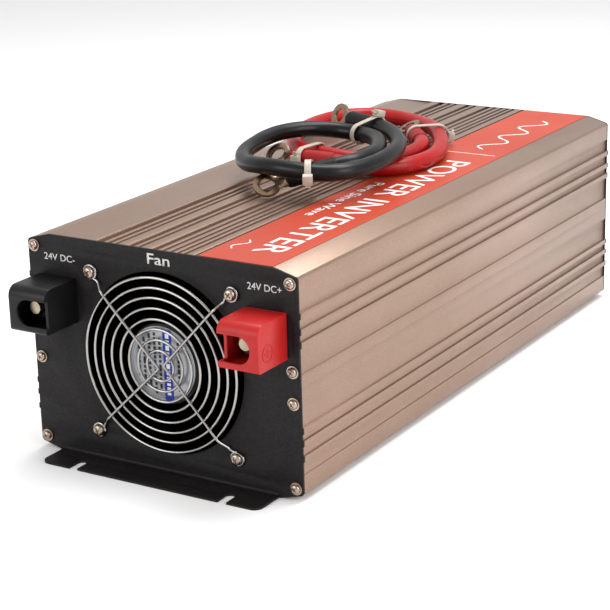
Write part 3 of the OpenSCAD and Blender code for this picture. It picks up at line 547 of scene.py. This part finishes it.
def lug(name):
    """A flat ring that swells into the round barrel of a crimp lug."""
    ring_r, hole_r, half_t, barrel_r = 0.00925, 0.00525, 0.0012, 0.0052
    deselect()
    bpy.ops.mesh.primitive_cylinder_add(vertices=64, radius=ring_r, depth=2 * half_t)
    ring = added(name)
    deselect()
    bpy.ops.mesh.primitive_cylinder_add(
        vertices=32, radius=barrel_r, depth=LUG_L - 0.015, rotation=(0, math.radians(90), 0),
        location=((LUG_L + 0.015) / 2, 0, 0),
    )
    barrel = added(name + "_barrel")
    edit(barrel)
    pick_faces(barrel, lambda centre, normal: normal.x < -0.9)
    for step, across, thick in ((0.0028, 1.04, 0.62), (0.003, 1.02, 0.6), (0.0045, 0.98, 0.62)):
        bpy.ops.mesh.extrude_region_move(TRANSFORM_OT_translate={"value": (-step, 0, 0)})
        bpy.ops.transform.resize(value=(1, across, thick))
    deselect()
    apply_modifier(ring, "BOOLEAN", operation="UNION", object=barrel, solver="EXACT")
    bpy.data.objects.remove(barrel, do_unlink=True)
    deselect()
    bpy.ops.mesh.primitive_cylinder_add(vertices=48, radius=hole_r, depth=0.02)
    cut_with(ring, added(name + "_hole"))
    round_edges(ring, 0.0003, 2, 35)
    return moved(ring, lug_frame(name))


def shrink_sleeve(name):
    """Heat-shrunk tube, drawn in over the lug's neck, the crimp's dents and the jacket."""
    steps = [
        (SLEEVE_START - 0.0006, 0.0043), (SLEEVE_START, 0.0048), (SLEEVE_START + 0.0022, 0.0059),
        (SLEEVE_START + 0.005, 0.0062), (SLEEVE_START + 0.008, 0.006), (SLEEVE_START + 0.011, 0.0062),
        (SLEEVE_START + 0.014, 0.006), (SLEEVE_START + 0.018, 0.00635), (SLEEVE_END - 0.002, 0.00645),
        (SLEEVE_END - 0.0004, 0.0064), (SLEEVE_END, 0.0061),
    ]
    sleeve = turned(name, steps, 40)
    along_x = Matrix.Rotation(math.radians(90), 4, "Y")
    return moved(sleeve, lug_frame(name.replace("sleeve", "lug")) @ along_x)


def tie(name, first, second, radius, head_up, tail):
    """Nylon tie round two strands: a strap, and its head and tail turned so far up over the first."""
    a, b = above_lid(first), above_lid(second)
    across = (b - a).length
    strap_t, strap_w = 0.001, 0.0044
    deselect()
    bpy.ops.mesh.primitive_circle_add(
        vertices=40, radius=radius + strap_t / 2, rotation=(0, math.radians(90), 0))
    strap = added(name)
    for side in (-1, 1):
        edit(strap, everything=False)
        bpy.ops.mesh.select_mode(type="VERT")
        shape = bmesh.from_edit_mesh(strap.data)
        for vert in shape.verts:
            vert.select_set(side * vert.co.y > 1e-6)
        bmesh.update_edit_mesh(strap.data)
        bpy.ops.transform.translate(value=(0, side * across / 2, 0))
    edit(strap)
    bpy.ops.transform.translate(value=(-strap_w / 2, 0, 0))
    bpy.ops.mesh.extrude_region_move(TRANSFORM_OT_translate={"value": (strap_w, 0, 0)})
    face_outwards(strap)
    apply_modifier(strap, "SOLIDIFY", thickness=strap_t, offset=0)
    round_edges(strap, 0.00025, 1, 40)
    outer = -across / 2 - radius - strap_t
    head = box_between(name + "_head", (-0.0033, outer - 0.0042, -0.0034), (0.0033, outer + 0.0005, 0.0034))
    edit(head)
    pick_faces(head, lambda centre, normal: abs(normal.z) > 0.9)
    bpy.ops.mesh.inset(thickness=0.0009, depth=0)
    bpy.ops.transform.resize(value=(1, 1, 0.86))
    deselect()
    round_edges(head, 0.0005, 2, 40)
    side = 1 if tail > 0 else -1
    tail = abs(tail)
    end = box_between(name + "_tail", (-0.0018, outer - 0.0026, 0), (0.0018, outer - 0.0014, side * tail))
    edit(end)
    pick_faces(end, lambda centre, normal: normal.z * side > 0.9)
    bpy.ops.mesh.extrude_region_move(TRANSFORM_OT_translate={"value": (0, -0.0008, side * 0.0012)})
    bpy.ops.transform.resize(value=(0.7, 1, 1))
    deselect()
    face_outwards(end)
    round_edges(end, 0.0002, 1, 40)
    beyond = joined([head, end], name + "_head")
    middle = Matrix.Translation((0, -across / 2, 0))
    moved(beyond, middle @ Matrix.Rotation(math.radians(-head_up), 4, "X") @ middle.inverted())
    along = b - a
    turn = Matrix.Rotation(math.atan2(along.y, along.x) - math.radians(90), 4, "Z")
    tip = Matrix.Rotation(math.asin(along.z / across), 4, "X")
    whole = joined([strap, beyond], name)
    return moved(whole, Matrix.Translation((a + b) / 2) @ turn @ tip)


def cables():
    on_sleeves = 0.0068
    on_ring, on_cables = 0.0076, CABLE_D / 2 + 0.0009
    ties = {
        "red": [
            tie("red_tie_one", (-0.0265, 0.2146, 0.0086), (-0.0252, 0.2329, 0.0082),
                on_sleeves, 0, 0.005),
            tie("red_tie_two", (0.0256, 0.3194, 0.0088), (0.0133, 0.3096, 0.0088),
                on_sleeves, -12, 0.004),
        ],
        "black": [
            tie("black_tie_one", (0.0225, 0.1412, 0.0193), (0.0114, 0.1617, 0.0132),
                on_ring, -28, -0.006),
            tie("black_tie_two", (-0.0031, 0.2786, 0.0205), (-0.0096, 0.2659, 0.017),
                on_cables, 62, 0.005),
        ],
    }
    for colour, route, jacket, shrink in (
        ("red", RED_ROUTE, JACKET_RED, SLEEVE_RED), ("black", BLACK_ROUTE, JACKET_BLACK, SLEEVE_BLACK),
    ):
        body = f"{colour}_cable"
        lugs = [lug(f"{colour}_lug_{which}") for which in ("one", "two")]
        sleeves = [shrink_sleeve(f"{colour}_sleeve_{which}") for which in ("one", "two")]
        for piece in lugs:
            finished(piece, TINNED, body, replaces=[f"{colour}_lugs"])
        for piece in sleeves:
            finished(piece, shrink, body, replaces=[f"{colour}_sleeves"])
        for piece in ties[colour]:
            finished(piece, NYLON, body, replaces=[f"{colour}_ties"])
        flex, start, length = cable(f"{colour}_battery_cable", colour, route, jacket, body)


# ------------------------------------------------------------------ lettering


def lettering(name, words, low, high, turn, material, thickness=0.00005, bold=0.0):
    """Letters that fill the rectangle from low to high, measured along and up the line of text."""
    deselect()
    bpy.ops.object.text_add()
    text = bpy.context.active_object
    text.data.body = words
    text.data.offset = bold
    text.data.resolution_u = 6
    bpy.ops.object.convert(target="MESH")
    letters = bpy.context.active_object
    letters.name = letters.data.name = name
    spots = [v.co for v in letters.data.vertices]
    start = Vector((min(p.x for p in spots), min(p.y for p in spots), 0))
    size = Vector((max(p.x for p in spots), max(p.y for p in spots), 0)) - start
    grow = Matrix.Diagonal(((high[0] - low[0]) / size.x, (high[1] - low[1]) / size.y, 1, 1))
    moved(letters, Matrix.Translation((low[0], low[1], 0)) @ grow @ Matrix.Translation(-start))
    edit(letters)
    bpy.ops.mesh.dissolve_degenerate(threshold=1e-6)
    bpy.ops.mesh.extrude_region_move(TRANSFORM_OT_translate={"value": (0, 0, thickness)})
    deselect()
    face_outwards(letters)
    moved(letters, turn)
    return finished(letters, material, "inverter", smooth=0)


def on_label():
    """Reading towards the fan end, with the tops of the letters to the right."""
    return Matrix.Translation((0, FRONT_Y, LABEL_TOP)) @ Matrix.Rotation(math.radians(-90), 4, "Z")


def on_front():
    return Matrix.Translation(FRONT_MIDDLE) @ Matrix.Rotation(math.radians(90), 4, "X")


def sine_mark(name, start, end, middle, swing, waves, width, material):
    """A plain sine wave drawn with a pen of the given width, as a flat print on the label."""
    steps = 24 * waves
    points = []
    for i in range(steps + 1):
        share = i / steps
        points.append((start + (end - start) * share,
                       middle + swing * math.sin(2 * math.pi * waves * share), 0))
    wire = wire_along(name, points, width / 2)
    moved(wire, on_label() @ Matrix.Diagonal((1, 1, 0.06, 1)))
    return finished(wire, material, "inverter")


def print_label():
    film = softened("top_label", 0.00008, LABEL_FILM, segments=1)
    lettering("power_inverter_words", "POWER INVERTER", (-0.2810, 0.0529), (-0.0236, 0.0722),
              on_label(), LABEL_INK)
    lettering("pure_sine_wave_words", "Pure Sine Wave", (-0.2030, 0.0378), (-0.1090, 0.0458),
              on_label(), LABEL_INK, bold=0.003)
    rule = box_between("label_rule", (0.0345, 0.3064, 0), (0.0780, 0.3073, 0.00005))
    round_edges(rule, 0.00001, 1)
    finished(moved(rule, Matrix.Translation((0, FRONT_Y, LABEL_TOP))), LABEL_INK, "inverter")
    sine_mark("small_sine", -0.0435, -0.0235, 0.0392, 0.0030, 1, 0.0010, LABEL_INK)
    sine_mark("long_sine", -0.4280, -0.3230, 0.0600, 0.0075, 3, 0.0016, LABEL_INK)
    return film


def print_front():
    lettering("negative_words", "24V DC-", (-0.0875, 0.0562), (-0.0634, 0.0606), on_front(),
              PANEL_INK, bold=0.006)
    lettering("positive_words", "24V DC+", (0.0650, 0.0573), (0.0890, 0.0617), on_front(),
              PANEL_INK, bold=0.006)
    lettering("fan_word", "Fan", (-0.0072, 0.0633), (0.0094, 0.0702), on_front(),
              PANEL_INK, bold=0.01)


# ------------------------------------------------------------------ fan


RING_RADII = (0.0098, 0.0166, 0.0235, 0.0299, 0.0368, 0.0435, 0.0499, 0.0563)
STAY_CORNERS = ((-1, -0.0002, -0.0015), (1, 0.0035, 0.0012))
GUARD_WIRE_R = 0.0009
RING_OUT = 0.0038
STAY_OUT = 0.0053
# How far along each leg its straight run starts, before the joggle back to the plate
STAY_RUN = 0.040
EYELET_R = 0.0044
BEAD_R = 0.00125
FAN_HOLE = 0.0525


def guard_stay(name, side, vertex_x, vertex_z):
    """Half of the cross wire: eyelet, joggle, straight run, rounded corner and back."""
    run = STAY_RUN

    def leg(v):
        points = []
        for degrees in range(-225, 76, 25):
            angle = math.radians(degrees)
            points.append((EYELET_R * math.cos(angle), -GUARD_WIRE_R, EYELET_R * math.sin(angle)))
        tilt = math.atan2(v, side)
        loop = []
        for x, y, z in points:
            u = x * math.cos(tilt) - z * math.sin(tilt)
            w = x * math.sin(tilt) + z * math.cos(tilt)
            loop.append((side * FAN_HOLE + u, y, v * FAN_HOLE + w))
        joggle = [
            (side * 0.0478, -GUARD_WIRE_R, v * 0.0478), (side * 0.0462, -0.0014, v * 0.0462),
            (side * 0.0444, -0.0030, v * 0.0444), (side * 0.0426, -0.0047, v * 0.0426),
            (side * 0.0408, -STAY_OUT, v * 0.0408),
        ]
        end = Vector((vertex_x, -STAY_OUT, vertex_z))
        far = Vector((side * run, -STAY_OUT, v * run))
        runs = [tuple(far.lerp(end, share)) for share in (0.1, 0.5, 0.88, 0.95)]
        return loop + joggle + runs

    path = leg(1) + [(vertex_x, -STAY_OUT, vertex_z)] + leg(-1)[::-1]
    wire = wire_along(name, path, GUARD_WIRE_R)
    return moved(wire, Matrix.Translation(FAN))


def fan_guard():
    parts = [guard_stay("guard_stay", *corner) for corner in STAY_CORNERS]
    for radius in RING_RADII:
        deselect()
        bpy.ops.mesh.primitive_torus_add(
            major_radius=radius, minor_radius=GUARD_WIRE_R, major_segments=96, minor_segments=12,
            rotation=(math.radians(90), 0, 0), location=FAN + Vector((0, -RING_OUT, 0)))
        parts.append(added("guard_ring"))
    # A weld bead where each stay crosses a ring
    beads = []
    for side, vertex_x, vertex_z in STAY_CORNERS:
        for v in (-1, 1):
            start, end = Vector((vertex_x, 0, vertex_z)), Vector((side * STAY_RUN, 0, v * STAY_RUN))
            along = end - start
            for radius in RING_RADII:
                # Where the straight run has that distance from the middle
                a, b, c = along.dot(along), 2 * start.dot(along), start.dot(start) - radius ** 2
                share = (-b + math.sqrt(b * b - 4 * a * c)) / (2 * a)
                if 0 < share < 1.0:
                    beads.append(start + along * share)
    for spot in beads:
        deselect()
        bpy.ops.mesh.primitive_uv_sphere_add(segments=12, ring_count=8, radius=BEAD_R,
                                             location=FAN + spot + Vector((0, -0.0045, 0)))
        bead = added("weld_bead")
        edit(bead)
        bpy.ops.transform.resize(value=(1, 0.85, 1), center_override=FAN + spot + Vector((0, -0.0045, 0)))
        parts.append(bead)
    finished(joined(parts, "guard_wires"), GUARD_CHROME, "inverter", ["fan_guard"])


def fan_rotor():
    """Hub and seven twisted, swept blades."""
    hub_r, tip_r, blades = 0.025, 0.0562, 7
    front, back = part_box("fan_rotor")[0].y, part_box("fan_rotor")[1].y
    depth = back - front
    hub = turned("rotor_hub", [(0.0004, hub_r - 0.0012), (0, hub_r - 0.0022), (-0.0001, hub_r - 0.0005),
                               (-depth + 0.001, hub_r), (-depth, hub_r - 0.0012)], 72)
    moved(hub, facing_front(Vector((FAN_X, front + 0.0004, MID_Z))))
    deselect()
    blade = box_between("rotor_blade", (hub_r - 0.0012, -0.0009, -depth / 2 + 0.002),
                        (hub_r + 0.003, 0.0009, depth / 2 - 0.002))
    edit(blade)
    bpy.ops.transform.rotate(value=math.radians(38), orient_axis="X", center_override=(0, 0, 0))
    steps = 6
    reach = (tip_r - hub_r - 0.003) / steps
    for i in range(steps):
        pick_faces(blade, lambda centre, normal, at=hub_r + 0.003 + reach * i: centre.x > at - 0.0004)
        bpy.ops.mesh.extrude_region_move(TRANSFORM_OT_translate={"value": (reach, 0.0007 * (i - 1), 0)})
        bpy.ops.transform.rotate(value=math.radians(3.2), orient_axis="X",
                                 center_override=(hub_r, 0.0007 * i, 0))
    deselect()
    face_outwards(blade)
    round_edges(blade, 0.0005, 2, 40)
    middle = facing_front((FAN_X, (front + back) / 2, MID_Z))
    parts = [hub]
    for i in range(blades):
        turn = Matrix.Rotation(2 * math.pi * i / blades, 4, "Z")
        parts.append(copy_of(blade, "rotor_blade_copy", middle @ turn))
    bpy.data.objects.remove(blade, do_unlink=True)
    finished(joined(parts, "rotor_blades"), FAN_PLASTIC, "rotor", ["fan_rotor"])


STICKER_T = 0.0003
# Across the sticker from its middle: the blue band, and the white marks on it
BAND, BAND_REACH = (0.0011, 0.0078), 0.0233
MARKS, MARKS_REACH = (0.0031, 0.0058), 0.0205
RIM_RADII = (0.0236, 0.0222)
PRINT_W = 0.0018
# Columns of plain dark bars: place across the sticker, and reach up and down
PRINT_COLUMNS = (
    (-0.0172, 0.012), (-0.0132, 0.016), (-0.0092, 0.019), (-0.0052, 0.020), (-0.0014, 0.017),
    (0.0125, 0.016),
)


def hub_sticker():
    """Plain foil disc with a printed rim, a blue band and plain bars where the words were."""
    low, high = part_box("fan_sticker")
    radius = (high.x - low.x) / 2
    disc = turned("sticker_disc", [(0, radius - 0.0003), (0.0001, radius), (0.00025, radius),
                                   (0.0003, radius - 0.0002)], 96)
    at = facing_front(Vector(((low.x + high.x) / 2, high.y, (low.z + high.z) / 2)))
    finished(moved(disc, at), FOIL, "inverter", ["fan_sticker"])
    top = STICKER_T
    band = box_between("sticker_band", (BAND[0], -BAND_REACH, top - 0.00001),
                       (BAND[1], BAND_REACH, top + 0.00004))
    round_edges(band, 0.00001, 1)
    finished(moved(band, at), BLUE_INK, "inverter")
    rng = random.Random(5)
    white = []
    z = MARKS_REACH
    while z > -MARKS_REACH:
        tall = rng.choice((0.0016, 0.0024, 0.0031))
        mark = box_between("band_mark", (MARKS[0], z - tall, top), (MARKS[1], z, top + 0.00007))
        white.append(moved(mark, at))
        z -= tall + 0.0011
    finished(joined(white, "band_marks"), LABEL_INK, "inverter")
    dark = []
    for x, reach in PRINT_COLUMNS:
        z = reach
        while z > -reach:
            tall = rng.choice((0.002, 0.0032, 0.0046))
            if z - tall < -reach:
                break
            mark = box_between("print_mark", (x - PRINT_W / 2, z - tall, top),
                               (x + PRINT_W / 2, z, top + 0.00005))
            dark.append(moved(mark, at))
            z -= tall + 0.0010
    finished(joined(dark, "sticker_print"), BLACK_INK, "inverter")
    rings = []
    for radius in RIM_RADII:
        deselect()
        bpy.ops.mesh.primitive_torus_add(major_radius=radius, minor_radius=0.00016, major_segments=96,
                                         minor_segments=6, location=(0, 0, top))
        ring = added("sticker_ring")
        edit(ring)
        bpy.ops.transform.resize(value=(1, 1, 0.3), center_override=(0, 0, top))
        deselect()
        rings.append(moved(ring, at))
    finished(joined(rings, "sticker_rim"), RIM_INK, "inverter")


# ------------------------------------------------------------------ fasteners


def cross_screw(name, head_r, head_h):
    """Pan head with a cross recess, standing on +Z."""
    head = turned(name, [(0, head_r * 0.94), (head_h * 0.12, head_r), (head_h * 0.42, head_r * 0.97),
                         (head_h * 0.72, head_r * 0.86), (head_h * 0.9, head_r * 0.68),
                         (head_h, head_r * 0.42)], 32)
    arm, slot_w = head_r * 0.62, head_r * 0.2
    for turn in (0, 90):
        blade = box_between("driver", (-arm, -slot_w / 2, head_h * 0.3), (arm, slot_w / 2, head_h * 1.2))
        edit(blade)
        pick_faces(blade, lambda centre, normal: normal.z < -0.9)
        bpy.ops.transform.resize(value=(0.55, 0.7, 1))
        deselect()
        moved(blade, Matrix.Rotation(math.radians(turn), 4, "Z"))
        cut_with(head, blade)
    round_edges(head, 0.00008, 1, 40)
    return head


def screws(name, places, head_r, head_h, turn_to, replaces, seed):
    master = cross_screw(name + "_master", head_r, head_h)
    rng = random.Random(seed)
    copies = []
    for place in places:
        spin = Matrix.Rotation(rng.uniform(0, math.pi / 2), 4, "Z")
        copies.append(copy_of(master, name, turn_to(Vector(place)) @ spin))
    bpy.data.objects.remove(master, do_unlink=True)
    finished(joined(copies, name), SCREW_NICKEL, "inverter", replaces)


def corner_places(y):
    return [(x, y, MID_Z + z) for x in (-0.095, 0.095) for z in (-0.0643, -0.010, 0.010, 0.0643)]


def fasteners():
    washer_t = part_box("front_washers")[1].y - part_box("front_washers")[0].y
    screws("front_case_screws", corner_places(FRONT_Y - washer_t), 0.0031, 0.0022, facing_front,
           ["front_screws"], 1)
    screws("rear_case_screws", corner_places(REAR_Y + washer_t), 0.0031, 0.0022, facing_rear,
           ["rear_screws"], 2)
    fan_places = [(FAN_X + x * FAN_HOLE, FRONT_Y - 2 * GUARD_WIRE_R, MID_Z + z * FAN_HOLE)
                  for x in (-1, 1) for z in (-1, 1)]
    screws("fan_case_screws", fan_places, 0.0039, 0.0026, facing_front, ["fan_screws"], 3)
    for node in ("front_washers", "rear_washers", "fan_nuts"):
        softened(node, 0.00015, SCREW_NICKEL, segments=1)


# ------------------------------------------------------------------ covers and terminals


# The mark's ring, and its middle: back from the cover's mouth and below the cover's middle
MARK_R = 0.0052
MARK_IN, MARK_DOWN = 0.0100, 0.0040


def cover_mark(name, node, outer, material):
    """A raised ring with the sign of the pole inside it, on the side away from the fan."""
    low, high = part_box(node)
    side_x = high.x if outer > 0 else low.x
    centre = Vector((side_x, low.y + MARK_IN, (low.z + high.z) / 2 - MARK_DOWN))
    deselect()
    bpy.ops.mesh.primitive_torus_add(
        major_radius=MARK_R, minor_radius=0.00045, major_segments=48, minor_segments=8,
        rotation=(0, math.radians(90), 0), location=centre)
    parts = [added(name)]
    long, thin, rise = 0.0028, 0.0004, 0.0003
    plus = [(thin, long)] if outer > 0 else []
    for along_y, along_z in [(long, thin)] + plus:
        half = Vector((rise, along_y, along_z))
        bar = box_between(name + "_bar", centre - half, centre + half)
        round_edges(bar, 0.00015, 1)
        parts.append(bar)
    finished(joined(parts, name), material, node)


# Each cover, the side of it that faces away from the fan, its finish and its slot
COVERS = (("positive", 1, COVER_RED, "cover_red"), ("negative", -1, COVER_BLACK, "cover_black"))


def covers():
    for pole, _, material, slot in COVERS:
        node = f"{pole}_cover"
        softened(node, 0.0006, material, body=node, segments=3, angle=40)
    for pole, outer, material, slot in COVERS:
        cover_mark(f"{pole}_mark", f"{pole}_cover", outer, material)


def threaded(name, place, turn_to, radius, length, pitch, node):
    """A stud's outer end with its thread as fine ridges and a chamfered tip."""
    steps = [(-0.002, radius * 0.9)]
    z = 0.0
    while z < length - pitch:
        steps += [(z, radius * 0.9), (z + pitch / 2, radius)]
        z += pitch
    steps += [(z, radius * 0.9), (length, radius * 0.8)]
    stud = turned(name, steps, 40)
    finished(moved(stud, turn_to(Vector(place))), STUD_METAL, "inverter", [node], smooth=20)


def terminals():
    softened("terminal_blocks", 0.0004, OUTLET)
    softened("terminal_nuts", 0.0004, STUD_METAL)
    softened("terminal_washers", 0.0002, STUD_METAL, segments=1)
    low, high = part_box("terminal_studs")
    z = (low.z + high.z) / 2
    radius = (high.z - low.z) / 2
    for name, x in (("positive_thread", high.x - radius), ("negative_thread", low.x + radius)):
        threaded(name, (x, FRONT_Y, z), facing_front, radius, FRONT_Y - low.y, 0.0015, "terminal_studs")
    low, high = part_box("ground_stud")
    radius = (high.z - low.z) / 2
    threaded("ground_thread", ((low.x + high.x) / 2, REAR_Y, (low.z + high.z) / 2), facing_rear,
             radius, high.y - REAR_Y, 0.001, "ground_stud")
    softened("ground_nut", 0.0003, STUD_METAL)


# ------------------------------------------------------------------ case, rear and inside


def case():
    softened("top_case", 0.00035, CHAMPAGNE, segments=2, angle=20)
    softened("bottom_case", 0.00035, CHAMPAGNE, segments=2, angle=20)
    softened("front_plate", 0.0003, BLACK_COAT)
    softened("fan_frame", 0.0004, FAN_PLASTIC)


def rear_fittings():
    softened("ac_outlets", 0.0006, OUTLET)
    softened("switch_frame", 0.0005, OUTLET)
    softened("switch_rocker", 0.0004, ROCKER, body="rocker")
    softened("remote_socket", 0.0003, SOCKET)
    softened("indicator_lights", 0.0002, LENS_GREEN)


# Nodes that keep the shape they were designed with and take a finish only
SHAPES_KEPT = {
    "rear_plate": BLACK_COAT,
    "fan_bearings": STEEL, "fan_stator": COPPER, "fan_lead": LEAD_SKIN, "fan_magnet": MAGNET,
    "fan_shaft": STEEL, "busbars": BUSBAR, "main_board": BOARD, "board_standoffs": BRASS,
    "board_screws": SCREW_NICKEL, "transformers": FERRITE, "transformer_windings": TAPE,
    "input_capacitors": CAN_SLEEVE, "output_capacitors": CAN_SLEEVE, "output_inductor": COPPER,
    "heat_sink_bars": SINK, "transistors": CHIP, "fuses": FUSE, "control_board": BOARD,
    "ac_contacts": BRASS, "ac_harness": HARNESS,
}


def finish_kept_shapes():
    for node, material in SHAPES_KEPT.items():
        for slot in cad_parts[node].material_slots:
            slot.material = material


def floor():
    deselect()
    bpy.ops.mesh.primitive_plane_add(size=24)
    ground = added("floor")
    ground.data.materials.append(FLOOR)


bpy.context.scene.view_settings.view_transform = "Standard"
look_through_camera()
light_studio()
floor()
cables()
case()
print_label()
print_front()
fan_guard()
fan_rotor()
hub_sticker()
fasteners()
covers()
terminals()
rear_fittings()
finish_kept_shapes()
